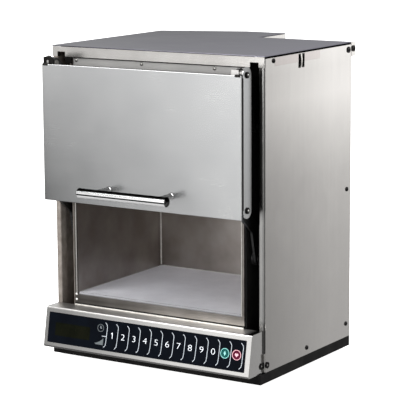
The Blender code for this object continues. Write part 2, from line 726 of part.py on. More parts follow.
def door_pins(door):
    """The four screws that hold the door's ears to the arms."""
    head = DOOR_HALF + GAP
    shoulder = DOOR_HALF - SIDE_SHEET - GAP
    profile = [
        (0, PIN_END),
        (6 * MM, PIN_END),
        (6 * MM, ARM_INNER - GAP),
        (PIN_RADIUS, ARM_INNER - GAP),
        (PIN_RADIUS, ARM_OUTER + GAP),
        (7 * MM, ARM_OUTER + GAP),
        (7 * MM, shoulder),
        (PIN_RADIUS, shoulder),
        (PIN_RADIUS, head),
        (PIN_HEAD_RADIUS, head),
        (PIN_HEAD_RADIUS, head + 1.2 * MM),
        (PIN_HEAD_RADIUS - 1 * MM, head + 2 * MM),
        (0, head + 2 * MM),
    ]
    for level, pivot in (("lower", LOWER_PIVOT_Z), ("upper", UPPER_PIVOT_Z)):
        for side, name in ((1, "right"), (-1, "left")):
            line = [(radius, side * x) for radius, x in profile]
            turned(f"door_pin_{level}_{name}", line, (0, DOOR_PIVOT_Y, pivot), "X", BLACK_PAINT, door)


def handle(door):
    """The bar with a cap at each end, on two posts."""
    neck, rim = BAR_HALF - CAP_WIDTH, CAP_RADIUS - 0.6 * MM
    right_half = [
        (BAR_RADIUS, neck),
        (CAP_RADIUS, neck),
        (CAP_RADIUS, BAR_HALF - 0.6 * MM),
        (rim, BAR_HALF),
        (0, BAR_HALF),
    ]
    bar = [(radius, -x) for radius, x in right_half[::-1]] + right_half
    turned("handle_bar", bar, (0, BAR_Y, HANDLE_Z), "X", CHROME, door)
    foot = DOOR_FRONT - GAP
    top = BAR_Y + BAR_RADIUS + GAP
    stem, flange = 4.5 * MM, 6 * MM
    post = [
        (0, top),
        (stem, top),
        (stem, foot - 2 * MM),
        (flange, foot - 1.5 * MM),
        (flange, foot),
        (0, foot),
    ]
    for side, name in ((1, "right"), (-1, "left")):
        turned("handle_post_" + name, post, (side * POST_X, 0, HANDLE_Z), "Y", CHROME, door)


def lift_arm(level, pivot_z, side, name, frame):
    """A cranked arm between a stud in the cabinet and an ear of the door, on the stud's axis."""
    door_end = (DOOR_PIVOT_Y, pivot_z)
    cabinet_end = (DOOR_PIVOT_Y + ARM_BACK, pivot_z - ARM_DROP)
    elbow = (DOOR_PIVOT_Y + ELBOW_BACK, pivot_z - ELBOW_DROP)
    axis = empty(f"arm_axis_{level}_{name}", (0, *cabinet_end), frame)
    outline = round_ended_link([door_end, elbow, cabinet_end], ARM_HALF, 20 * MM)
    near, far = sorted((side * ARM_INNER, side * ARM_OUTER))
    bores = [circle(end, BORE_RADIUS, 16) for end in (door_end, cabinet_end)]
    prism(f"lift_arm_{level}_{name}", outline, near, far, "X", DARK_STEEL, axis, bores)


def lift_springs(frame):
    """The counterbalance springs, wound round the lower studs."""
    coil, wire, turns, per_turn, pitch = 11 * MM, 0.7 * MM, 1.75, 16, 2.1 * MM
    start = CHANNEL_INNER + SHEET + wire
    y, z = DOOR_PIVOT_Y + ARM_BACK, LOWER_PIVOT_Z - ARM_DROP
    for side, name in ((1, "right"), (-1, "left")):
        line = bpy.data.curves.new("lift_spring_" + name, "CURVE")
        line.dimensions = "3D"
        line.bevel_depth = wire
        line.bevel_resolution = 2
        line.use_fill_caps = True
        count = int(turns * per_turn) + 1
        spline = line.splines.new("POLY")
        spline.points.add(count - 1)
        for i, point in enumerate(spline.points):
            angle = 2 * math.pi * i / per_turn
            x = side * (start + pitch * i / per_turn)
            point.co = (x, coil * math.cos(angle), coil * math.sin(angle), 1)
        line.materials.append(material("lift_spring_" + name, DARK_STEEL))
        made = bpy.data.objects.new("lift_spring_" + name, line)
        bpy.context.scene.collection.objects.link(made)
        made.parent = frame
        made.location = (0, y, z)


def build():
    clear_scene()
    reach = CAP_RADIUS - BAR_Y
    frame = empty("oven_frame", (0, 0, 0))
    frame.location = (0, (reach - REAR_DEPTH) / 2, BASE_HEIGHT + FOOT_HEIGHT)
    base_pan(frame)
    feet(frame)
    side_panels(frame)
    top_cover(frame)
    front_rail(frame)
    front_strips(frame)
    upper_front_panel(frame)
    rear_panels(frame)
    arm_channels(frame)
    cavity(frame)
    antenna(frame)
    feed(frame)
    power_supply(frame)
    blower(frame)
    small_electrics(frame)
    control_panel(frame)
    for level, pivot in (("lower", LOWER_PIVOT_Z), ("upper", UPPER_PIVOT_Z)):
        for side, name in ((1, "right"), (-1, "left")):
            lift_arm(level, pivot, side, name, frame)
    lift_springs(frame)
    door = empty("door_axis", (0, DOOR_PIVOT_Y, LOWER_PIVOT_Z), frame)
    door_shell(door)
    door_pins(door)
    handle(door)


build()
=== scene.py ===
"""Looks of a countertop microwave oven with a lift-up door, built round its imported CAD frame.

Units are metres, in the row frame: +X to the right, -Y towards the user, +Z up.
"""

import json
import math

import bmesh
import bpy
from mathutils import Matrix, Vector


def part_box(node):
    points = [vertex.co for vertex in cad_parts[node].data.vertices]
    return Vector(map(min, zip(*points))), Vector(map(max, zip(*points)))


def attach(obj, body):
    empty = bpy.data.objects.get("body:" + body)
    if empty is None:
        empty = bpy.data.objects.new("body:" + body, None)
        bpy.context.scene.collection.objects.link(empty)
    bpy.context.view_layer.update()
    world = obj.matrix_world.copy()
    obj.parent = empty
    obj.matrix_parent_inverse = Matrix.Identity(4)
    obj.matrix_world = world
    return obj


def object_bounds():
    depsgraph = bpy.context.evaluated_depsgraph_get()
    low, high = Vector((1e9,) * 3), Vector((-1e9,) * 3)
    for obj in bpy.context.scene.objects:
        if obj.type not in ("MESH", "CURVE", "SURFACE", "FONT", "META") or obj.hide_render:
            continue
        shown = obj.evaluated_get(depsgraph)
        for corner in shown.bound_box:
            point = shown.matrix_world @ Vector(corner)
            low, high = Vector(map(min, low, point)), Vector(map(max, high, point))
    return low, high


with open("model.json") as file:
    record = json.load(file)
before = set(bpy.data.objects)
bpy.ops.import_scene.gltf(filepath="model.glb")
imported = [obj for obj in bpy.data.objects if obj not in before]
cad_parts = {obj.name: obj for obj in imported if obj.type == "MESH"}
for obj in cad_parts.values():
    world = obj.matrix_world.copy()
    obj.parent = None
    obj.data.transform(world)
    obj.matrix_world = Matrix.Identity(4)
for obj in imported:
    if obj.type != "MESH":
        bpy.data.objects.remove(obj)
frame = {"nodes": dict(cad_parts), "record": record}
cad_low, cad_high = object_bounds()

MM = 0.001
LEFT, RIGHT = Vector((-1, 0, 0)), Vector((1, 0, 0))
FRONT, UP = Vector((0, -1, 0)), Vector((0, 0, 1))
FRONT_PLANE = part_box("front_rail")[0].y
CASE_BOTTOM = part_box("side_panel_right")[0].z
CASE_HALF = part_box("side_panel_right")[1].x


def at(x, back, up):
    """A point from millimetres: x from the middle, back from the front plane and up from the casing's
    lower edge."""
    return Vector((x * MM, FRONT_PLANE + back * MM, CASE_BOTTOM + up * MM))


def casing_box(node):
    """A CAD node's lowest and highest corners in the millimetres that at() takes."""
    return [Vector((p.x, p.y - FRONT_PLANE, p.z - CASE_BOTTOM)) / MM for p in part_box(node)]


def towards(direction):
    """The turn that points +Z in a direction."""
    return direction.to_track_quat("Z", "Y").to_matrix().to_4x4()


# Camera, light and floor

# Angles in degrees and the lens in millimetres.
CAMERA_AZIMUTH, CAMERA_ELEVATION, CAMERA_ROLL = 32.492, 10.043, -0.376
CAMERA_PLACE, CAMERA_LENS = at(1688.4, -2514.4, 804.7), 165.76

# Brightness of the studio at angles above the horizon, in degrees.
HEIGHT_LEVELS = [(-90, 0.3), (-25, 0.42), (-13, 0.52), (-9.5, 0.6), (-7.5, 0.95), (-5, 1.6), (10, 1.6),
                 (35, 1.1), (60, 1.1)]

# Brightness by how far to the right a direction points, times how far towards the camera's side.
SIDE_LEVELS = [(-0.5, 0.8), (-0.12, 0.45), (-0.05, 0.5), (0.0, 0.85), (0.05, 1.2), (0.2, 1.2),
               (0.37, 0.4), (0.5, 0.4)]


def add_camera():
    """A long lens from the front right, a little above the oven."""
    azimuth, elevation, roll = (math.radians(a) for a in (CAMERA_AZIMUTH, CAMERA_ELEVATION, CAMERA_ROLL))
    level = math.cos(elevation)
    back = Vector((math.sin(azimuth) * level, -math.cos(azimuth) * level, math.sin(elevation)))
    level_right = (-back).cross(UP).normalized()
    level_up = level_right.cross(-back)
    right = level_right * math.cos(roll) + level_up * math.sin(roll)
    up = level_up * math.cos(roll) - level_right * math.sin(roll)
    data = bpy.data.cameras.new("camera")
    data.sensor_width = 36
    data.lens = CAMERA_LENS
    data.clip_end = 100
    camera = bpy.data.objects.new("camera", data)
    bpy.context.scene.collection.objects.link(camera)
    turn = Matrix((right, up, back)).transposed().to_4x4()
    camera.matrix_world = Matrix.Translation(CAMERA_PLACE) @ turn
    bpy.context.scene.camera = camera


def add_world():
    """A studio that is bright above the horizon and grey below it, with a soft bright and dim side."""
    scene = bpy.context.scene
    scene.view_settings.view_transform = "Standard"
    world = bpy.data.worlds.new("studio")
    scene.world = world
    world.use_nodes = True
    tree = world.node_tree
    sky = tree.nodes["Background"]
    direction = tree.nodes.new("ShaderNodeTexCoord").outputs["Generated"]

    def product(first, second):
        node = tree.nodes.new("ShaderNodeMath")
        node.operation = "MULTIPLY"
        tree.links.new(first, node.inputs[0])
        tree.links.new(second, node.inputs[1])
        return node.outputs[0]

    def along(vector):
        node = tree.nodes.new("ShaderNodeVectorMath")
        node.operation = "DOT_PRODUCT"
        node.inputs[1].default_value = vector
        tree.links.new(direction, node.inputs[0])
        return node.outputs["Value"]

    def ramp(value, stops):
        """Levels at values from -1 to 1."""
        halved = tree.nodes.new("ShaderNodeMapRange")
        halved.inputs["From Min"].default_value = -1
        node = tree.nodes.new("ShaderNodeValToRGB")
        tree.links.new(value, halved.inputs["Value"])
        tree.links.new(halved.outputs[0], node.inputs["Fac"])
        elements = node.color_ramp.elements
        while len(elements) < len(stops):
            elements.new(0.5)
        for element, (place, level) in zip(elements, stops):
            element.position = 0.5 + 0.5 * place
            element.color = (level, level, level, 1)
        return node.outputs["Color"]

    facing = math.radians(CAMERA_AZIMUTH)
    across = along((math.cos(facing), -math.sin(facing), 0))
    ahead = along((-math.sin(facing), -math.cos(facing), 0))
    heights = [(math.sin(math.radians(angle)), level) for angle, level in HEIGHT_LEVELS]
    by_height = ramp(along((0, 0, 1)), heights)
    by_side = ramp(product(across, ahead), SIDE_LEVELS)
    sky.inputs["Color"].default_value = (1, 1, 1, 1)
    tree.links.new(product(by_height, by_side), sky.inputs["Strength"])


def add_area_light(name, place, target, size, power):
    """A square softbox at place that faces target."""
    data = bpy.data.lights.new(name, "AREA")
    data.size = size
    data.energy = power
    lamp = bpy.data.objects.new(name, data)
    bpy.context.scene.collection.objects.link(lamp)
    lamp.matrix_world = Matrix.Translation(place) @ towards(place - target)


def add_lights():
    """The studio, a softbox over the front left, a weaker one over the right and a low one in front."""
    add_world()
    middle = at(0, 150, 250)
    add_area_light("key_softbox", Vector((-1.6, -2.2, 2.6)), middle, 1.6, 60)
    add_area_light("side_softbox", Vector((2.6, 0.9, 1.9)), middle, 1.2, 30)
    add_area_light("low_front_softbox", Vector((-0.2, -2.4, 0.75)), at(0, 130, 120), 1.0, 22)


def add_floor():
    """A plain floor that glows enough to stay pale all over. It isn't part of the oven."""
    look = Look("floor_paper", {"Roughness": 0.9, "Emission Strength": 1.0})
    look.shader.inputs["Emission Color"].default_value = (1, 1, 1, 1)
    look.tint(look.noise(400), (0.86, 0.86, 0.86), (0.9, 0.9, 0.9))
    bm = bmesh.new()
    bmesh.ops.create_grid(bm, x_segments=1, y_segments=1, size=40)
    floor = add_mesh("floor", bm, look)
    floor.location.z = cad_low.z
    floor.visible_glossy = False


# Materials


class Look:
    """A Principled material, and the procedural nodes that drive it. Sizes are in millimetres."""

    def __init__(self, name, sockets):
        self.material = bpy.data.materials.new(name)
        self.material.use_nodes = True
        self.nodes = self.material.node_tree.nodes
        self.links = self.material.node_tree.links
        self.shader = self.nodes["Principled BSDF"]
        for socket, value in sockets.items():
            self.shader.inputs[socket].default_value = value

    def noise(self, size, stretch=(1, 1, 1), detail=3, rough=0.5):
        """Noise whose features are about size across, times stretch along each axis."""
        place = self.nodes.new("ShaderNodeTexCoord")
        mapping = self.nodes.new("ShaderNodeMapping")
        mapping.inputs["Scale"].default_value = [1 / (size * MM * s) for s in stretch]
        noise = self.nodes.new("ShaderNodeTexNoise")
        noise.inputs["Scale"].default_value = 1
        noise.inputs["Detail"].default_value = detail
        noise.inputs["Roughness"].default_value = rough
        self.links.new(place.outputs["Object"], mapping.inputs["Vector"])
        self.links.new(mapping.outputs["Vector"], noise.inputs["Vector"])
        return noise.outputs["Fac"]

    def spread(self, value, low, high, start=0.3, end=0.7):
        """The value from start to end, turned into low to high."""
        node = self.nodes.new("ShaderNodeMapRange")
        self.links.new(value, node.inputs["Value"])
        for name, number in (("From Min", start), ("From Max", end), ("To Min", low), ("To Max", high)):
            node.inputs[name].default_value = number
        return node.outputs[0]

    def levels(self, value, low, high, stops):
        """A smooth curve through (value, level) stops."""
        node = self.nodes.new("ShaderNodeValToRGB")
        self.links.new(self.spread(value, 0, 1, low, high), node.inputs["Fac"])
        elements = node.color_ramp.elements
        while len(elements) < len(stops):
            elements.new(0.5)
        for element, (place, level) in zip(elements, stops):
            element.position = (place - low) / (high - low)
            element.color = (level, level, level, 1)
        return node.outputs["Color"]

    def math(self, operation, first, second):
        node = self.nodes.new("ShaderNodeMath")
        node.operation = operation
        for socket, value in zip(node.inputs, (first, second)):
            if isinstance(value, (int, float)):
                socket.default_value = value
            else:
                self.links.new(value, socket)
        return node.outputs[0]

    def axis(self, name):
        """The coordinate along one axis of the row frame, in metres."""
        place = self.nodes.new("ShaderNodeTexCoord")
        split = self.nodes.new("ShaderNodeSeparateXYZ")
        self.links.new(place.outputs["Object"], split.inputs[0])
        return split.outputs[name]

    def place(self, name, start, end, low, high):
        """low to high between two places along one axis of the casing, in millimetres."""
        index = "XYZ".index(name)
        return self.spread(self.axis(name), low, high, at(*[start] * 3)[index], at(*[end] * 3)[index])

    def shade(self, *factors):
        """The base colour times each factor."""
        base = self.shader.inputs["Base Color"]
        for factor in factors:
            node = self.nodes.new("ShaderNodeVectorMath")
            node.operation = "SCALE"
            self.links.new(base.links[0].from_socket, node.inputs[0])
            self.links.new(factor, node.inputs["Scale"])
            self.links.new(node.outputs[0], base)

    def mix(self, factor, dark, light):
        """A colour between dark and light. Each is a colour or a colour socket."""
        node = self.nodes.new("ShaderNodeMix")
        node.data_type = "RGBA"
        self.links.new(factor, node.inputs["Factor"])
        for name, value in (("A", dark), ("B", light)):
            if isinstance(value, tuple):
                node.inputs[name].default_value = (*value, 1)
            else:
                self.links.new(value, node.inputs[name])
        return node.outputs["Result"]

    def tint(self, value, dark, light):
        """Base colour from dark to light over the value's middle range."""
        colour = self.mix(self.spread(value, 0, 1), dark, light)
        self.links.new(colour, self.shader.inputs["Base Color"])
        return colour

    def blend(self, factor, first, last):
        """first to last as the factor goes from 0 to 1, for plain values."""
        step = self.math("MULTIPLY", factor, self.math("SUBTRACT", last, first))
        return self.math("ADD", first, step)

    def colour(self, socket):
        self.links.new(socket, self.shader.inputs["Base Color"])

    def rough(self, value, low, high):
        self.links.new(self.spread(value, low, high), self.shader.inputs["Roughness"])

    def rough_where(self, mask, roughness):
        """Another roughness where the mask is 1."""
        socket = self.shader.inputs["Roughness"]
        self.links.new(self.blend(mask, socket.links[0].from_socket, roughness), socket)

    def bump(self, value, depth):
        """Relief of about this depth."""
        node = self.nodes.new("ShaderNodeBump")
        node.inputs["Distance"].default_value = depth * MM
        before = self.shader.inputs["Normal"]
        if before.is_linked:
            self.links.new(before.links[0].from_socket, node.inputs["Normal"])
        self.links.new(value, node.inputs["Height"])
        self.links.new(node.outputs["Normal"], before)


# Painted reflection round the handle's bar: tones by the angle of its surface above the horizontal in
# degrees.
BAR_PAINTED_REFLECTION = [(-180, 0.3), (-95, 0.3), (-75, 0.38), (-20, 0.5), (-17, 0.02), (-5, 0.02), (-2, 1.0), (29, 1.0),
             (33, 0.01), (105, 0.01), (115, 0.3), (180, 0.3)]

# How far the bar reflects like bare metal, by the same angle: its lower half, in its own shade, does less.
BAR_SHINE = [(-180, 0.4), (-20, 0.4), (-12, 1.0), (180, 1.0)]

ALONG = {"X": (60, 1, 1), "Y": (1, 60, 1), "Z": (1, 1, 60)}


def brushed_steel(name, dark, light, grain, roughness=0.17, relief=0.005):
    """Sheet steel with a fine brushed grain along one axis, and soft blotches from rolling and handling."""
    look = Look(name, {"Metallic": 1.0})
    fine = look.noise(0.9, ALONG[grain], detail=2)
    coarse = look.noise(6, ALONG[grain], detail=2)
    blotch = look.noise(70, detail=3, rough=0.55)
    shade = look.math("ADD", look.math("MULTIPLY", coarse, 0.25), look.math("MULTIPLY", blotch, 0.75))
    look.tint(shade, dark, light)
    wear = look.math("ADD", look.math("MULTIPLY", fine, 0.4), look.math("MULTIPLY", blotch, 0.6))
    look.rough(wear, roughness - 0.03, roughness + 0.04)
    look.bump(fine, relief)
    return look


def side_steel(name, pale=1.0):
    """The sides' steel, with painted reflection and shade: painted palest a little below the top and towards
    the rear. A pale below 1 darkens it, and warms it by darkening green and blue more than red."""
    cool = pale ** 1.6
    dark = (0.60 * pale, 0.58 * cool, 0.56 * cool)
    light = (0.66 * pale, 0.64 * cool, 0.615 * cool)
    look = brushed_steel(name, dark, light, "Z")
    # Painted reflection and shade: lighter towards the rear and a little below the top, darker at the very
    # top.
    look.shade(look.place("Z", 330, 440, 0.88, 0.94), look.place("Y", 20, 220, 0.85, 1.13),
               look.place("Z", 440, 485, 1.0, 0.86))
    return look


def door_steel(name):
    """The door's steel, with painted reflection and shade: paler towards the right and darkest at its lower
    left, and painted darker on its top bend and its right edge.
    """
    look = brushed_steel(name, (0.665, 0.672, 0.677), (0.685, 0.69, 0.69), "X", roughness=0.24,
                         relief=0.0008)
    # Painted reflection and shade across the door, and painted shade on the top bend and right edge.
    left = look.place("Z", 262, 490, 0.42, 0.84)
    right = look.place("Z", 262, 490, 0.98, 0.82)
    across = look.math("POWER", look.place("X", -190, 190, 0, 1), 0.54)
    look.shade(look.blend(across, left, right), look.place("Z", 490.5, 491.3, 1.0, 0.7),
               look.place("X", 195.3, 195.9, 1.0, 0.8))
    return look


def top_steel(name):
    """The top cover's dull steel, with painted shade that darkens it towards the left."""
    look = brushed_steel(name, (0.145, 0.141, 0.168), (0.176, 0.172, 0.203), "X", roughness=0.34)
    look.shader.inputs["Specular Tint"].default_value = (0.8, 0.8, 0.82, 1)
    # Painted shade, darker towards the left.
    look.shade(look.place("X", -210, 200, 0.3, 1.2))
    return look


def housing_steel(name):
    """The control housing's steel: its front is painted paler to the right as a painted reflection, its top
    ledge is finely blasted and painted lighter as painted light from above, and its right end is painted a
    little lighter.
    """
    look = brushed_steel(name, (0.60, 0.59, 0.575), (0.68, 0.67, 0.655), "X")
    # The ledge mask sets both its blasted roughness and its painted light; the front and right end get
    # painted reflection and light.
    ledge = look.math("MULTIPLY", look.place("Z", 66, 69.5, 0, 1), look.place("X", 188, 200, 1, 0))
    look.shade(look.place("X", -206, 60, 0.43, 0.72), look.blend(ledge, 1.0, 1.65),
               look.place("X", 206.3, 206.5, 1.0, 1.2))
    look.rough_where(ledge, 0.42)
    return look


def recess_steel(name):
    """The recessed front panel's steel, duller than the rest and painted darker where the open door hides it,
    as painted shade.
    """
    look = brushed_steel(name, (0.38, 0.373, 0.365), (0.47, 0.463, 0.45), "X", roughness=0.4)
    look.shader.inputs["Metallic"].default_value = 0.45
    # Painted shade low on the panel.
    look.shade(look.place("Z", 478, 487, 0.55, 1.0))
    return look


def frame_steel(name):
    """The raised frame round the cavity, painted darker at its left and most at its lower left, as painted
    shade.
    """
    look = brushed_steel(name, (0.17, 0.155, 0.14), (0.30, 0.28, 0.26), "X", roughness=0.3)
    # Painted shade, darker to the left and most at the lower left.
    across = look.place("X", -120, 120, 0, 1)
    left = look.place("Z", 80, 91, 0.38, 1.2)
    look.shade(look.place("X", -171, 40, 0.55, 1.0), look.blend(across, left, 1.08))
    return look


def channel_steel(name):
    """Steel behind the left arm slot, painted dark brown as the slot's painted shade, with cloudy marks."""
    # The dark brown is painted shade of the steel inside the slot.
    look = satin_metal(name, (0.145, 0.122, 0.105), (0.235, 0.212, 0.19), 0.5, grain_size=14.0)
    look.shader.inputs["Metallic"].default_value = 0.35
    return look


def strip_steel(name):
    """The front strips' steel, with painted shade: dark on the flanges that turn into the casing, where shade
    falls, and dimmer at the foot, and beside the open door as a painted reflection of the dark door."""
    look = brushed_steel(name, (0.60, 0.59, 0.575), (0.68, 0.67, 0.655), "Z")
    # Painted shade on the flanges and foot, and a painted reflection of the dark door higher up.
    look.shade(look.place("Y", 1.6, 2.4, 0.85, 0.03), look.place("Z", 77, 87, 0.25, 1.0),
               look.place("Z", 250, 275, 1.0, 0.52))
    return look


def satin_metal(name, dark, light, roughness, grain_size=3.0):
    """Plain metal with a faint cloudy finish."""
    look = Look(name, {"Metallic": 1.0})
    cloud = look.noise(grain_size, detail=4)
    look.tint(cloud, dark, light)
    look.rough(cloud, roughness - 0.05, roughness + 0.06)
    look.bump(look.noise(0.6), 0.01)
    return look


def pin_metal(name):
    """Door pins: bare at the inner head and black outside the door."""
    look = satin_metal(name, (0.30, 0.29, 0.28), (0.40, 0.39, 0.375), 0.4)
    from_middle = look.math("ABSOLUTE", look.axis("X"), 0)
    look.shade(look.spread(from_middle, 1, 0.03, 190 * MM, 191 * MM))
    return look


def chrome(name):
    """Polished handle steel with faint polishing marks, with painted reflection bands round the bar and a
    painted dark reflection on its end faces.
    """
    look = Look(name, {"Metallic": 1.0, "Specular Tint": (0.1, 0.1, 0.1, 1)})
    marks = look.noise(1.2, ALONG["X"], detail=2)
    look.tint(marks, (0.9, 0.9, 0.9), (0.97, 0.97, 0.97))
    look.rough(marks, 0.07, 0.12)
    low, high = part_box("handle_bar")
    middle = (low + high) / 2
    forward = look.math("SUBTRACT", middle.y, look.axis("Y"))
    upward = look.math("SUBTRACT", look.axis("Z"), middle.z)
    turn = look.math("MULTIPLY", look.math("ARCTAN2", upward, forward), 180 / math.pi)
    # Painted reflection bands by the angle round the bar.
    look.shade(look.levels(turn, -180, 180, BAR_PAINTED_REFLECTION))
    look.links.new(look.levels(turn, -180, 180, BAR_SHINE), look.shader.inputs["Metallic"])
    # A painted dark reflection on the bar's end faces.
    from_middle = look.math("ABSOLUTE", look.axis("X"), 0)
    look.shade(look.spread(from_middle, 1, 0.1, high.x - 0.7 * MM, high.x - 0.4 * MM))
    return look


def galvanised(name):
    """Galvanised sheet with its spangle."""
    look = Look(name, {"Metallic": 1.0})
    place = look.nodes.new("ShaderNodeTexCoord")
    cells = look.nodes.new("ShaderNodeTexVoronoi")
    cells.inputs["Scale"].default_value = 1 / (9 * MM)
    look.links.new(place.outputs["Object"], cells.inputs["Vector"])
    grey = look.nodes.new("ShaderNodeRGBToBW")
    look.links.new(cells.outputs["Color"], grey.inputs["Color"])
    look.colour(look.mix(grey.outputs[0], (0.46, 0.47, 0.48), (0.66, 0.67, 0.68)))
    look.rough(grey.outputs[0], 0.32, 0.5)
    return look


def moulded_plastic(name, dark, light, roughness, texture=0.5, shine=0.5):
    """Moulded plastic or rubber with a fine spark-eroded texture."""
    look = Look(name, {"Metallic": 0.0, "Specular IOR Level": shine})
    look.tint(look.noise(12), dark, light)
    grain = look.noise(texture, detail=2)
    look.rough(grain, roughness - 0.06, roughness + 0.06)
    look.bump(grain, 0.03)
    return look


def black_paint(name, shine=0.16):
    """Powder paint with orange peel, worn a little lighter in patches."""
    look = Look(name, {"Metallic": 0.0, "Specular IOR Level": shine})
    look.tint(look.noise(30, detail=4), (0.004, 0.004, 0.004), (0.010, 0.0095, 0.009))
    peel = look.noise(1.6, detail=1)
    look.rough(look.noise(8), 0.32, 0.46)
    look.bump(peel, 0.05)
    return look


def membrane_film(name, dark=(0.0008, 0.0014, 0.003), light=(0.0014, 0.0026, 0.005), roughness=0.3):
    """Printed polyester film, blue-black and faintly textured."""
    look = Look(name, {"Metallic": 0.0, "Specular IOR Level": 0.03})
    look.tint(look.noise(25, detail=3), dark, light)
    texture = look.noise(0.35, detail=1)
    look.rough(texture, roughness - 0.04, roughness + 0.05)
    look.bump(texture, 0.012)
    return look


def ink(name, dark, light):
    """Screen-printed ink on the keypad film."""
    look = Look(name, {"Metallic": 0.0, "Specular IOR Level": 0.1})
    look.tint(look.noise(0.8), dark, light)
    look.rough(look.noise(0.3), 0.42, 0.52)
    return look


def ceramic(name):
    """Sealed ceramic plate: grey with fine specks, painted paler to the rear and left as painted light, and
    painted dark on its front edge as painted shade.
    """
    look = Look(name, {"Metallic": 0.0, "Coat Weight": 0.25, "Coat Roughness": 0.18})
    cloud = look.mix(look.spread(look.noise(40, detail=4), 0, 1), (0.66, 0.66, 0.70), (0.75, 0.75, 0.79))
    specks = look.spread(look.noise(1.4, detail=1), 1, 0, 0.68, 0.72)
    look.colour(look.mix(specks, (0.5, 0.5, 0.5), cloud))
    # Painted light towards the rear and left, painted shade on the front edge.
    look.shade(look.place("Y", 10, 240, 0.86, 1.18), look.place("X", -160, 0, 1.22, 1.0),
               look.place("Y", 4.7, 5.2, 0.36, 1.0))
    look.rough(look.noise(15), 0.28, 0.4)
    look.bump(look.noise(6, detail=2), 0.02)
    return look


def cavity_steel(name):
    """Cavity steel, heat-tinted brown in clouds and slightly wavy, painted a little darker on the rear wall
    as painted shade.
    """
    look = Look(name, {"Metallic": 1.0})
    cloud = look.noise(70, detail=3, rough=0.55)
    grain = look.noise(1.0, ALONG["Z"], detail=2)
    look.tint(cloud, (0.27, 0.24, 0.22), (0.41, 0.38, 0.355))
    # Painted shade on the rear wall.
    look.shade(look.place("Y", 250, 254, 1.0, 0.82))
    look.rough(grain, 0.3, 0.38)
    look.bump(grain, 0.012)
    look.bump(look.noise(60, detail=1), 0.25)
    return look


def circuit_board(name):
    """Green solder mask with paler tracks."""
    look = Look(name, {"Metallic": 0.0})
    tracks = look.spread(look.noise(2.0, (4, 1, 1), detail=1), 0, 1, 0.5, 0.53)
    look.colour(look.mix(tracks, (0.015, 0.09, 0.035), (0.04, 0.2, 0.08)))
    look.rough(look.noise(5), 0.3, 0.4)
    return look


def lamp_glass(name):
    """Clear lamp glass with slight waviness."""
    look = Look(name, {"Metallic": 0.0, "Transmission Weight": 0.85, "IOR": 1.45})
    look.tint(look.noise(6), (0.9, 0.87, 0.78), (0.97, 0.95, 0.9))
    look.rough(look.noise(4), 0.04, 0.1)
    look.bump(look.noise(5), 0.05)
    return look


STEEL_DARK, STEEL_LIGHT = (0.50, 0.485, 0.465), (0.62, 0.605, 0.585)


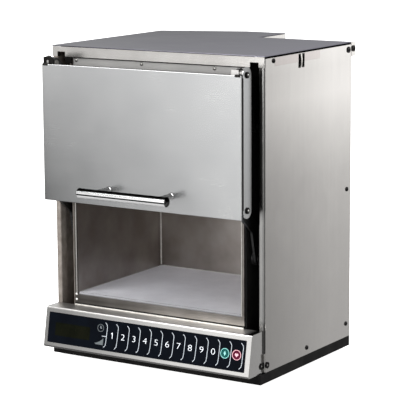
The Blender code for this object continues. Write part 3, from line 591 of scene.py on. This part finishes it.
def make_looks():
    """A material for each slot of the record, and those of the pieces that are added here."""
    return {
        "brushed_steel_casing": brushed_steel("steel_vertical_grain", STEEL_DARK, STEEL_LIGHT, "Z"),
        "side_steel": side_steel("steel_side_panels"),
        "side_strip_steel": side_steel("steel_side_strips", pale=0.93),
        "rail_steel": brushed_steel("steel_front_rail", STEEL_DARK, STEEL_LIGHT, "X", roughness=0.24,
                                    relief=0.002),
        "housing_steel": housing_steel("steel_control_housing"),
        "recess_steel": recess_steel("steel_recess"),
        "frame_steel": frame_steel("steel_cavity_frame"),
        "channel_steel": channel_steel("steel_arm_channel"),
        "strip_steel": strip_steel("steel_front_strips"),
        "top_steel": top_steel("steel_top"),
        "door_steel": door_steel("steel_door"),
        "cavity_steel": cavity_steel("steel_cavity"),
        "arm_steel": satin_metal("zinc_dark", (0.05, 0.05, 0.052), (0.1, 0.1, 0.1), 0.4),
        "polished_steel": chrome("chrome_handle"),
        "pin_metal": pin_metal("steel_door_pins"),
        "galvanised_steel": galvanised("galvanised_sheet"),
        "wheel_plastic": moulded_plastic("nylon_grey", (0.03, 0.03, 0.032), (0.05, 0.05, 0.052), 0.5),
        "black_paint": black_paint("paint_black"),
        "base_paint": black_paint("paint_base", shine=0.03),
        "black_plastic": moulded_plastic("plastic_black", (0.006, 0.006, 0.006), (0.014, 0.013, 0.012), 0.5,
                                         shine=0.12),
        "foot_rubber": moulded_plastic("rubber_black", (0.012, 0.012, 0.012), (0.025, 0.024, 0.023), 0.8,
                                       texture=1.0),
        "membrane": membrane_film("keypad_film"),
        "floor_ceramic": ceramic("ceramic_floor_plate"),
        "cover_mica": ceramic("mica_cover"),
        "circuit_board": circuit_board("solder_mask"),
        "lamp_glass": lamp_glass("glass_lamp"),
        "display": membrane_film("display_window", (0.002, 0.0025, 0.001), (0.004, 0.0045, 0.002), 0.16),
        "segment": membrane_film("segment_unlit", (0.003, 0.0034, 0.0014), (0.005, 0.0048, 0.0024), 0.2),
        "white_ink": ink("ink_white", (0.66, 0.69, 0.73), (0.74, 0.77, 0.8)),
        "grey_ink": ink("ink_grey", (0.34, 0.37, 0.4), (0.42, 0.45, 0.48)),
        "dim_ink": ink("ink_dim", (0.075, 0.085, 0.09), (0.11, 0.125, 0.13)),
        "start_ink": ink("ink_start_light", (0.22, 0.52, 0.49), (0.27, 0.58, 0.54)),
        "start_field": ink("ink_start_dark", (0.0, 0.05, 0.045), (0.001, 0.066, 0.06)),
        "stop_ink": ink("ink_stop_light", (0.66, 0.34, 0.38), (0.74, 0.42, 0.46)),
        "stop_field": ink("ink_stop_dark", (0.05, 0.0, 0.01), (0.07, 0.001, 0.016)),
        "screw_black": satin_metal("screw_black_oxide", (0.012, 0.012, 0.012), (0.035, 0.034, 0.033), 0.3),
        "screw_steel": satin_metal("screw_zinc", (0.45, 0.44, 0.42), (0.58, 0.57, 0.55), 0.26),
        # Near-white screw metal, a painted glint for the two screws at the cavity's mouth.
        "screw_bright": satin_metal("screw_painted_glint", (0.8, 0.79, 0.77), (0.95, 0.94, 0.92), 0.5),
        "seam_steel": satin_metal("steel_weld_seam", (0.62, 0.6, 0.56), (0.78, 0.76, 0.72), 0.36),
        "sealant": moulded_plastic("silicone_bead", (0.42, 0.41, 0.39), (0.52, 0.51, 0.48), 0.4, texture=1.5),
    }


# The nodes whose look isn't that of their slot.
NODE_LOOKS = {
    "side_panel_left": "side_steel",
    "side_panel_right": "side_steel",
    "control_housing": "housing_steel",
    "front_rail": "rail_steel",
    "upper_front_panel": "recess_steel",
    "front_strip_right": "strip_steel",
    # The left strip and arm channel take the steel painted dark as the slot's shade.
    "front_strip_left": "channel_steel",
    "arm_channel_left": "channel_steel",
    "cavity_front_frame": "frame_steel",
    "base_pan": "base_paint",
    "door_pin_upper_right": "pin_metal",
    "door_pin_upper_left": "pin_metal",
    "door_pin_lower_right": "pin_metal",
    "door_pin_lower_left": "pin_metal",
}


def finish_cad_nodes(looks):
    """Each CAD node takes the material of its slot, or its own one."""
    for part in frame["record"]["subparts"]:
        name = part["node"]
        node = frame["nodes"][name]
        look = looks[NODE_LOOKS.get(name, part["material_slot"])]
        for slot in node.material_slots:
            slot.material = look.material
    # The door's brushed finish scatters the bar's mirror image away.
    frame["nodes"]["handle_bar"].visible_glossy = False


# Mesh helpers


def add_mesh(name, bm, look):
    """A mesh object from a bmesh."""
    mesh = bpy.data.meshes.new(name)
    bmesh.ops.recalc_face_normals(bm, faces=bm.faces)
    bm.to_mesh(mesh)
    bm.free()
    mesh.materials.append(look.material)
    thing = bpy.data.objects.new(name, mesh)
    bpy.context.scene.collection.objects.link(thing)
    return thing


def add_piece(name, bm, look, body="cabinet", smooth_below=40):
    """A mesh piece of the oven that rides on a body."""
    piece = add_mesh(name, bm, look)
    piece.data.shade_smooth()
    piece.data.set_sharp_from_angle(angle=math.radians(smooth_below))
    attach(piece, body)
    return piece


def arc(centre, radius, start, end, steps):
    """Points from the angle start to end, in degrees, round a centre."""
    angles = [math.radians(start + (end - start) * i / steps) for i in range(steps + 1)]
    return [(centre[0] + radius * math.cos(a), centre[1] + radius * math.sin(a)) for a in angles]


def circle(centre, radius, steps=32):
    return arc(centre, radius, 0, 360 * (steps - 1) / steps, steps - 1)


def rounded_rectangle(left, low, right, high, radius, steps=5):
    """A closed outline, anticlockwise."""
    corners = [((right - radius, low + radius), -90), ((right - radius, high - radius), 0),
               ((left + radius, high - radius), 90), ((left + radius, low + radius), 180)]
    return [p for centre, start in corners for p in arc(centre, radius, start, start + 90, steps)]


def stroke(points, width):
    """The outline of a line of this width along the points."""
    path = [Vector(p) for p in points]
    left, right = [], []
    for i, point in enumerate(path):
        ahead = path[min(i + 1, len(path) - 1)]
        behind = path[max(i - 1, 0)]
        side = (ahead - behind).normalized().orthogonal() * (width / 2)
        left.append(point + side)
        right.append(point - side)
    return [tuple(p) for p in left + right[::-1]]


def extrude(outline, low, high, place, hole=None):
    """A bmesh slab between two heights. place(u, v, w) turns millimetres into a point. A hole has the
    outline's number of points."""
    bm = bmesh.new()

    def loop(points, height):
        return [bm.verts.new(place(u, v, height)) for u, v in points]

    bottom, top = loop(outline, low), loop(outline, high)
    count = len(outline)
    steps = [(i, (i + 1) % count) for i in range(count)]
    for i, j in steps:
        bm.faces.new((bottom[i], bottom[j], top[j], top[i]))
    if hole is None:
        bm.faces.new(top)
        bm.faces.new(bottom[::-1])
        return bm
    inner_bottom, inner_top = loop(hole, low), loop(hole, high)
    for i, j in steps:
        bm.faces.new((top[i], top[j], inner_top[j], inner_top[i]))
        bm.faces.new((bottom[j], bottom[i], inner_bottom[i], inner_bottom[j]))
        bm.faces.new((inner_bottom[j], inner_bottom[i], inner_top[i], inner_top[j]))
    return bm


def turned(profile, steps=24):
    """A bmesh solid of revolution about +Z. The profile is (radius, height) points in millimetres, and
    its first and last points lie on the axis."""
    bm = bmesh.new()
    rings = []
    for radius, height in profile:
        if radius == 0:
            rings.append([bm.verts.new((0, 0, height * MM))])
            continue
        ring = circle((0, 0), radius, steps)
        rings.append([bm.verts.new((x * MM, y * MM, height * MM)) for x, y in ring])
    for low, high in zip(rings, rings[1:]):
        for i in range(steps):
            j = (i + 1) % steps
            corners = [low[i % len(low)], low[j % len(low)], high[j % len(high)], high[i % len(high)]]
            bm.faces.new(list(dict.fromkeys(corners)))
    return bm


# Screws


def screw_mesh(name, diameter, look):
    """A pan-head screw's head with a cross recess, standing on the plane z = 0."""
    radius, height = diameter / 2, diameter * 0.3
    crown = [(radius * math.cos(math.radians(a)), height * (0.25 + 0.75 * math.sin(math.radians(a))))
             for a in (0, 18, 36, 54, 72)]
    head = add_mesh(name, turned([(0, 0), (radius, 0), *crown, (0, height)]), look)
    cross = bmesh.new()
    for long_side, short_side in ((0.62, 0.15), (0.15, 0.62)):
        size = Vector((diameter * long_side, diameter * short_side, height * 1.1)) * MM
        shape = Matrix.Translation((0, 0, height * MM)) @ Matrix.Diagonal((*size, 1))
        bmesh.ops.create_cube(cross, size=1, matrix=shape)
    cutter = add_mesh(name + "_cutter", cross, look)
    cut = head.modifiers.new("recess", "BOOLEAN")
    cut.operation = "DIFFERENCE"
    cut.use_self = True
    cut.object = cutter
    cut_head = head.evaluated_get(bpy.context.evaluated_depsgraph_get())
    mesh = bpy.data.meshes.new_from_object(cut_head)
    mesh.name = name
    mesh.shade_smooth()
    mesh.set_sharp_from_angle(angle=math.radians(35))
    for helper in (head, cutter):
        bpy.data.objects.remove(helper)
    return mesh


def add_screw(name, mesh, place, facing, body="cabinet", turn=20):
    """A screw head on a surface that faces a direction."""
    screw = bpy.data.objects.new(name, mesh)
    bpy.context.scene.collection.objects.link(screw)
    spin = Matrix.Rotation(math.radians(turn), 4, "Z")
    screw.matrix_world = Matrix.Translation(place) @ towards(facing) @ spin
    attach(screw, body)


def add_washer(name, place, facing, look):
    """A black ring that stands a little way off the sheet."""
    outer, inner = circle((0, 0), 5.4, 28), circle((0, 0), 2.0, 28)
    bm = extrude(outer, 0, 1.4, lambda u, v, w: Vector((u, v, w)) * MM, inner)
    bm.transform(Matrix.Translation(place) @ towards(facing))
    add_piece(name, bm, look)


def add_side_screws(mesh, looks):
    """The side panels' black screws. The two at the upper rear of the right side have washers."""
    half = CASE_HALF / MM
    rear = casing_box("side_panel_right")[1].y
    places = [(28.7, 509.5), (rear - 9, 506), (rear - 12, 264), (rear - 12, 24), (141, 12), (302, 507)]
    for number, (back, up) in enumerate(places):
        place = at(half, back, up)
        if up > 505 and back > 100:
            add_washer(f"side_washer_right_{number}", place, RIGHT, looks["black_plastic"])
        add_screw(f"side_screw_right_{number}", mesh, place, RIGHT, turn=35 * number)
    places = [(28.7, 509.5), (320, 507), (320, 264), (320, 24), (141, 12)]
    for number, (back, up) in enumerate(places):
        place = at(-half, back, up)
        add_screw(f"side_screw_left_{number}", mesh, place, LEFT, turn=50 * number)


def add_panel_and_pin_screws(mesh, looks):
    """The control panel's screws on their washers, and the screw in the middle of each door pin."""
    case_half = CASE_HALF / MM
    panel_half = casing_box("control_housing")[1].x
    for name, side, facing in (("right", 1, RIGHT), ("left", -1, LEFT)):
        for spot, x, back in (("front", panel_half, -5), ("rear", case_half, 8)):
            place = at(side * x, back, 12)
            add_washer(f"panel_washer_{spot}_{name}", place, facing, looks["base_paint"])
            add_screw(f"panel_screw_{spot}_{name}", mesh, place, facing, turn=10)
        for level in ("lower", "upper"):
            low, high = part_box(f"door_pin_{level}_{name}")
            place = (low + high) / 2
            place.x = high.x if side > 0 else low.x
            add_screw(f"door_pin_centre_{level}_{name}", mesh, place, facing, "door",
                      turn=30)


def add_screws(looks):
    """The casing's fasteners."""
    black = screw_mesh("screw_black", 8, looks["screw_black"])
    pale = screw_mesh("screw_pale", 4.4, looks["screw_steel"])
    small = screw_mesh("screw_small", 6, looks["screw_steel"])
    bright = screw_mesh("screw_bright", 4.4, looks["screw_bright"])
    add_side_screws(black, looks)
    add_panel_and_pin_screws(pale, looks)
    # The mouth screws are near-white, as a painted glint.
    for level, up in (("lower", 79.4), ("upper", 88.5)):
        # Any two unlike turns will do, so each screw's height serves as its turn.
        add_screw(f"mouth_screw_{level}", bright, at(-168, 0.4, up), FRONT, turn=up)
    recess = casing_box("upper_front_panel")[0].y
    for number, x in enumerate((-164, -30, 113)):
        place = at(x, recess, 494.5)
        add_screw(f"recess_screw_{number}", small, place, FRONT, turn=25 * number)


# Small sheet-metal pieces and beads


def box_mesh(low, high, edge):
    """A box with slightly chamfered edges between two corners in casing millimetres."""
    bm = bmesh.new()
    first, last = at(*low), at(*high)
    size, middle = last - first, (first + last) / 2
    bmesh.ops.create_cube(bm, size=1, matrix=Matrix.Translation(middle) @ Matrix.Diagonal((*size, 1)))
    bmesh.ops.bevel(bm, geom=bm.edges, offset=edge * MM, segments=1, affect="EDGES")
    return bm


def add_box(name, low, high, look, body="cabinet", edge=0.3):
    """A box as a piece of its own."""
    return add_piece(name, box_mesh(low, high, edge), look, body, 20)


def add_bead(name, start, end, radius, look):
    """A thin bead with a slightly wavy height between two points along one axis."""
    first, last = at(*start), at(*end)
    along = (last - first).normalized()
    turn = along.to_track_quat("Z", "Y").to_matrix()
    bm = bmesh.new()
    steps, sides = 60, 10
    rings = []
    for i in range(steps + 1):
        middle = first.lerp(last, i / steps)
        swell = radius * MM * (1 + 0.12 * math.sin(i * 1.7) + 0.08 * math.sin(i * 0.6))
        ring = circle((0, 0), swell, sides)
        rings.append([bm.verts.new(middle + turn @ Vector((x, y, 0))) for x, y in ring])
    for low, high in zip(rings, rings[1:]):
        for i in range(sides):
            j = (i + 1) % sides
            bm.faces.new((low[i], low[j], high[j], high[i]))
    bm.faces.new(rings[0])
    bm.faces.new(rings[-1][::-1])
    return add_piece(name, bm, look)


def add_cavity_details(looks):
    """Sealant beads, weld seams and mouth edges of the cavity, and two pieces under its frame: a black strip
    that stands for the shade in the gap above the ledge, and a pale lip on the ledge.
    """
    low, high = casing_box("ceramic_floor")
    half, front, rear, top = high.x, low.y, high.y, high.z
    ceiling = casing_box("antenna_cover")[0].z
    add_bead("floor_bead_rear", (-half + 2, rear - 0.6, top), (half - 2, rear - 0.6, top), 1.0,
             looks["sealant"])
    for name, side in (("left", -1), ("right", 1)):
        x = side * (half - 0.5)
        add_bead(f"floor_bead_{name}", (x, front + 3, top), (x, rear - 3, top), 0.8,
                 looks["sealant"])
        add_bead(f"corner_seam_{name}", (x, rear - 0.8, top + 2), (x, rear - 0.8, ceiling - 1), 1.2,
                 looks["seam_steel"])
        near, far = sorted((side * (half + 0.9), side * (half + 2.3)))
        add_box(f"mouth_edge_{name}", (near, -0.7, top - 2), (far, 0.4, ceiling + 1),
                looks["seam_steel"])
    trim_half = 171
    ledge = casing_box("control_housing")[1].z
    frame_low = casing_box("cavity_front_frame")[0].z
    # A black strip that stands for the shade in the gap between the ledge and the frame.
    add_box("frame_gap_shadow_strip", (-trim_half, 0.7, ledge + 0.15), (trim_half, 2.3, frame_low + 0.4),
            looks["black_plastic"])
    add_box("ledge_lip", (-trim_half, -1.7, ledge - 0.1), (trim_half, -0.7, ledge + 1.8),
            looks["seam_steel"])


def add_casing_details(looks):
    """The right side's strips, lifting tab, black slot rims that stand for the slots' shadow, rear ear and
    seam cover, a black strip that stands for the shadow under the front rail, and the door's stop at the
    upper left."""
    half = CASE_HALF / MM
    top = casing_box("side_panel_right")[1].z
    steel = looks["side_steel"]
    for name, start, end in (("front", 33, 109.5), ("rear", 130, 183)):
        add_box(f"side_strip_{name}", (half - 0.2, start, top - 14), (half + 0.25, end, top - 0.5),
                looks["side_strip_steel"], edge=0.1)
    bulge, thickness, tab_height = 1.3, 0.6, 22
    arch = [(half - 0.2 + bulge * math.sin(math.radians(a)), top - 1.5 - tab_height * a / 180)
            for a in range(0, 181, 15)]
    inside = [(x - thickness, z) for x, z in arch[::-1]]
    bm = extrude(arch + inside, 117.9, 121.6, lambda u, v, w: at(u, w, v))
    add_piece("lifting_tab", bm, looks["seam_steel"])
    rail = casing_box("front_rail")[0].z
    # A black strip that stands for the shadow line under the front rail.
    add_box("rail_shadow_strip", (-172, 0.9, rail - 1.9), (172, 2.4, rail - 0.1), looks["black_plastic"],
            edge=0.1)
    slot_low, slot_high, rim = 491.5, 512.5, 1.2
    # Black rims round the two slots, painted shadow that widens their dark openings.
    for name, start, end in (("front", 111, 116.5), ("rear", 123, 128.5)):
        outer = rounded_rectangle(start - rim, slot_low - rim, end + rim, slot_high + rim, 1.5)
        inner = rounded_rectangle(start, slot_low, end, slot_high, 0.5)
        bm = extrude(outer, half - 0.2, half + 0.2, lambda u, v, w: at(w, u, v), inner)
        add_piece(f"slot_shadow_rim_{name}", bm, looks["black_plastic"])
    add_box("door_stop_left", (-184, 1.4, 489), (-171.5, 4, 500.3), looks["base_paint"])
    add_box("rear_ear_right", (half - 1.4, 293.5, 494), (half, 310, 518.6), steel)
    add_box("seam_cover_right", (half - 3.3, -0.4, 1), (half - 0.1, 3.3, 31.6), steel)


def add_door_details(looks):
    """The door's upper brackets, left catch, corner clips and dark side seals."""
    low, high = casing_box("door_skin")
    half, front, top = high.x, low.y, high.z
    plate = casing_box("door_side_right")[0].y
    add_box("door_bracket_left", (-195.5, -44.6, 487), (-175, -43.0, 503.6), looks["base_paint"],
            "door")
    add_box("door_bracket_right", (175, -44.4, 488), (189, -43.2, 500), looks["recess_steel"],
            "door")
    add_box("door_catch_left", (-188, -45.3, 489), (-184.6, -44.5, 498), looks["screw_steel"],
            "door")
    for name, side in (("right", 1), ("left", -1)):
        near, far = sorted((side * (half - 12), side * (half - 1.5)))
        add_box(f"door_clip_{name}", (near, front - 0.4, top - 2.6), (far, front + 4, top + 1.6),
                looks["black_plastic"], "door")
        near, far = sorted((side * (half - 1), side * (half + 0.25)))
        add_box(f"door_seal_{name}", (near, plate - 0.3, 275), (far, plate + 2.4, top - 4),
                looks["black_plastic"], "door", edge=0.1)


# Keypad


class Plane:
    """The outer face of the keypad film. place(u, v, w) turns millimetres right, up the slope and out of
    the film, from the film's middle, into a point."""

    def __init__(self, node):
        mesh = frame["nodes"][node].data
        face = max((p for p in mesh.polygons if p.normal.y < -0.5), key=lambda p: p.area)
        self.out = face.normal.copy()
        self.up = (UP - self.out * self.out.z).normalized()
        anchor = mesh.vertices[face.vertices[0]].co
        rim = [v.co for v in mesh.vertices if abs((v.co - anchor).dot(self.out)) < 0.05 * MM]
        across = [p.x for p in rim]
        along = [(p - anchor).dot(self.up) for p in rim]
        self.half_width = (max(across) - min(across)) / 2 / MM
        self.half_height = (max(along) - min(along)) / 2 / MM
        self.centre = anchor + self.up * ((max(along) + min(along)) / 2)
        self.centre.x = (max(across) + min(across)) / 2

    def place(self, u, v, w):
        return self.centre + RIGHT * (u * MM) + self.up * (v * MM) + self.out * (w * MM)

    def from_case(self, x):
        """The film's own u of a distance from the oven's middle."""
        return x - self.centre.x / MM


INK_LOW, INK_HIGH = 0.03, 0.13
FIRST_LINE, KEY_PITCH, KEY_COUNT = -75.8, 22.43, 12
LINE_HALF, LINE_WIDTH = 21.3, 1.1
DIGIT_HEIGHT, DIGIT_WEIGHT, DIGIT_LIFT, DIGIT_STRETCH = 10.7, -0.25, 0.9, 1.25
ONE_HEIGHT, DIGIT_SHIFT = 10.2, -0.6
GLYPH_HEIGHT = 0.72  # of the built-in font's digits, as a share of its size


def print_on_film(film, name, outline, look, hole=None, layer=0):
    """A thin printed shape on the keypad film."""
    lift = layer * INK_HIGH
    bm = extrude(outline, INK_LOW + lift, INK_HIGH + lift, film.place, hole)
    return add_piece(name, bm, look)


def add_film_border(film, looks):
    """The film's printed border, which squares its corners."""
    half_width, half_height, border = film.half_width, film.half_height, 2.5
    outer = rounded_rectangle(-half_width, -half_height, half_width, half_height, 1.4)
    inner = rounded_rectangle(border - half_width, border - half_height, half_width - border,
                              half_height - border, 3)
    add_piece("film_border", extrude(outer, -0.3, 0.02, film.place, inner), looks["membrane"])


def add_key_lines(film, looks):
    """The brackets between the keys: nearly upright, with both ends swept to the left."""
    for number in range(KEY_COUNT + 1):
        x = film.from_case(FIRST_LINE + KEY_PITCH * number)
        bend = 4.2
        top = [(x - 4.4, LINE_HALF), (x - 2.2, LINE_HALF - 1.9), (x - 0.4, LINE_HALF - bend)]
        foot = [(x - 1.5, bend - LINE_HALF), (x - 2.9, 2.4 - LINE_HALF), (x - 5.2, -LINE_HALF)]
        outline = stroke([*top, (x + 0.2, LINE_HALF - 7), (x - 0.6, 3 - LINE_HALF * 0.6), *foot], LINE_WIDTH)
        print_on_film(film, f"key_line_{number:02d}", outline, looks["grey_ink"])


def text_mesh(text, height, weight):
    """The built-in font's glyph as a bmesh in the plane z = 0 to 1, in millimetres."""
    curve = bpy.data.curves.new("glyph", "FONT")
    curve.body = text
    curve.size = height / GLYPH_HEIGHT
    curve.offset = weight
    curve.align_x = "CENTER"
    curve.align_y = "CENTER"
    curve.extrude = 0.5
    glyph = bpy.data.objects.new("glyph", curve)
    bpy.context.scene.collection.objects.link(glyph)
    mesh = bpy.data.meshes.new_from_object(glyph.evaluated_get(bpy.context.evaluated_depsgraph_get()))
    bm = bmesh.new()
    bm.from_mesh(mesh)
    bmesh.ops.remove_doubles(bm, verts=bm.verts, dist=0.001)
    bpy.data.objects.remove(glyph)
    bpy.data.meshes.remove(mesh)
    return bm


def digit_one(x, height):
    """A 1 with a slanted flag."""
    top, foot = DIGIT_LIFT + height / 2, DIGIT_LIFT - height / 2
    return [(x + 0.9, foot), (x + 0.9, top), (x - 0.2, top), (x - 2.7, top - 1.9), (x - 2.2, top - 2.9),
            (x - 0.4, top - 1.9), (x - 0.4, foot)]


def add_digits(film, looks):
    """Ten digit keys, 1 to 9 and then 0."""
    for number in range(10):
        digit = (number + 1) % 10
        x = film.from_case(FIRST_LINE + KEY_PITCH * (number + 0.5))
        if digit == 1:
            print_on_film(film, "key_digit_1", digit_one(x, ONE_HEIGHT), looks["white_ink"])
            continue
        bm = text_mesh(str(digit), DIGIT_HEIGHT, DIGIT_WEIGHT)
        across = [v.co.x for v in bm.verts]
        along = [v.co.y for v in bm.verts]
        middle_x = (min(across) + max(across)) / 2
        middle_y = (min(along) + max(along)) / 2
        for vertex in bm.verts:
            lift = INK_HIGH if vertex.co.z > 0 else INK_LOW
            u = (vertex.co.x - middle_x) * DIGIT_STRETCH + x + DIGIT_SHIFT
            v = vertex.co.y - middle_y + DIGIT_LIFT
            vertex.co = film.place(u, v, lift)
        add_piece(f"key_digit_{digit}", bm, looks["white_ink"])


def add_round_key(film, looks, name, column, symbol):
    """A start or stop key: a coloured disc, a pale ring and a symbol."""
    centre = (film.from_case(FIRST_LINE + KEY_PITCH * (column + 0.5)) - 0.4, DIGIT_LIFT)
    field, ring, ring_hole = (circle(centre, radius, 48) for radius in (7.8, 8.4, 7.5))
    print_on_film(film, f"{name}_key_field", field, looks[f"{name}_field"])
    print_on_film(film, f"{name}_key_ring", ring, looks[f"{name}_ink"], ring_hole, layer=1)
    outline = [(centre[0] + u, centre[1] + v) for u, v in symbol]
    print_on_film(film, f"{name}_key_symbol", outline, looks[f"{name}_ink"], layer=1)


def heart(size):
    """A heart with its point down."""
    angles = [math.radians(10 * i) for i in range(36)]
    across = [0.9 * math.sin(a) ** 3 for a in angles]
    upward = [(13 * math.cos(a) - 5 * math.cos(2 * a) - 2 * math.cos(3 * a) - math.cos(4 * a)) / 16
              for a in angles]
    return [(size * u, size * v) for u, v in zip(across, upward)]


def diamond(half_width, half_height):
    return [(half_width, 0), (0, half_height), (-half_width, 0), (0, -half_height)]


def add_round_keys(film, looks):
    add_round_key(film, looks, "start", 10, diamond(2.1, 4.3))
    add_round_key(film, looks, "stop", 11, heart(3.6))


def add_icons(film, looks):
    """Clock and power-level marks at the left of the keys."""
    x, y = film.from_case(-89.3), 11.2
    ring, hole = circle((x, y), 6.6, 40), circle((x, y), 5.7, 40)
    print_on_film(film, "clock_ring", ring, looks["dim_ink"], hole)
    hands = stroke([(x, y + 3.6), (x, y - 0.2), (x + 2.4, y - 0.2)], 0.9)
    print_on_film(film, "clock_hands", hands, looks["grey_ink"])
    left, right, foot, head = film.from_case(-99.5), film.from_case(-82.2), -17.4, -5.8
    slope = [(left + (right - left) * t, foot + 2.2 + (head - foot - 2.2) * t ** 1.8)
             for t in (0, 0.2, 0.4, 0.6, 0.8, 1.0)]
    wedge = [*slope, (right, foot), (left + 2.0, foot)]
    print_on_film(film, "level_wedge", wedge, looks["dim_ink"])
    line = film.from_case(FIRST_LINE)
    tick = stroke([(line - 9.5, -2.2), (line - 0.6, -2.2)], 1.2)
    print_on_film(film, "level_tick", tick, looks["grey_ink"])


def add_display(film, looks):
    """The display window with four unlit seven-segment digits behind it."""
    left, right, low, high = film.from_case(-184), film.from_case(-111), -13.0, 9.5
    print_on_film(film, "display_window", rounded_rectangle(left, low, right, high, 1.5), looks["display"])
    width, half_height, thick, gap, outset = 9.0, 7.0, 1.3, 0.9, 0.6
    middle = (low + high) / 2
    top, bottom = middle + half_height, middle - half_height
    for number in range(4):
        start = left + 15 + 14.3 * number
        end = start + width
        bars = {
            "top": [(start, top), (end, top)],
            "middle": [(start, middle), (end, middle)],
            "bottom": [(start, bottom), (end, bottom)],
            "upper_left": [(start - outset, middle + gap), (start - outset, top - gap)],
            "upper_right": [(end + outset, middle + gap), (end + outset, top - gap)],
            "lower_left": [(start - outset, bottom + gap), (start - outset, middle - gap)],
            "lower_right": [(end + outset, bottom + gap), (end + outset, middle - gap)],
        }
        for name, line in bars.items():
            outline = stroke(line, thick)
            print_on_film(film, f"segment_{number}_{name}", outline, looks["segment"], layer=1)


def add_keypad(looks):
    """The print on the keypad film, and the film's border."""
    film = Plane("control_overlay")
    add_film_border(film, looks)
    add_display(film, looks)
    add_icons(film, looks)
    add_key_lines(film, looks)
    add_digits(film, looks)
    add_round_keys(film, looks)


# Scene

add_camera()
looks = make_looks()
finish_cad_nodes(looks)
add_keypad(looks)
add_screws(looks)
add_cavity_details(looks)
add_casing_details(looks)
add_door_details(looks)
add_lights()
add_floor()
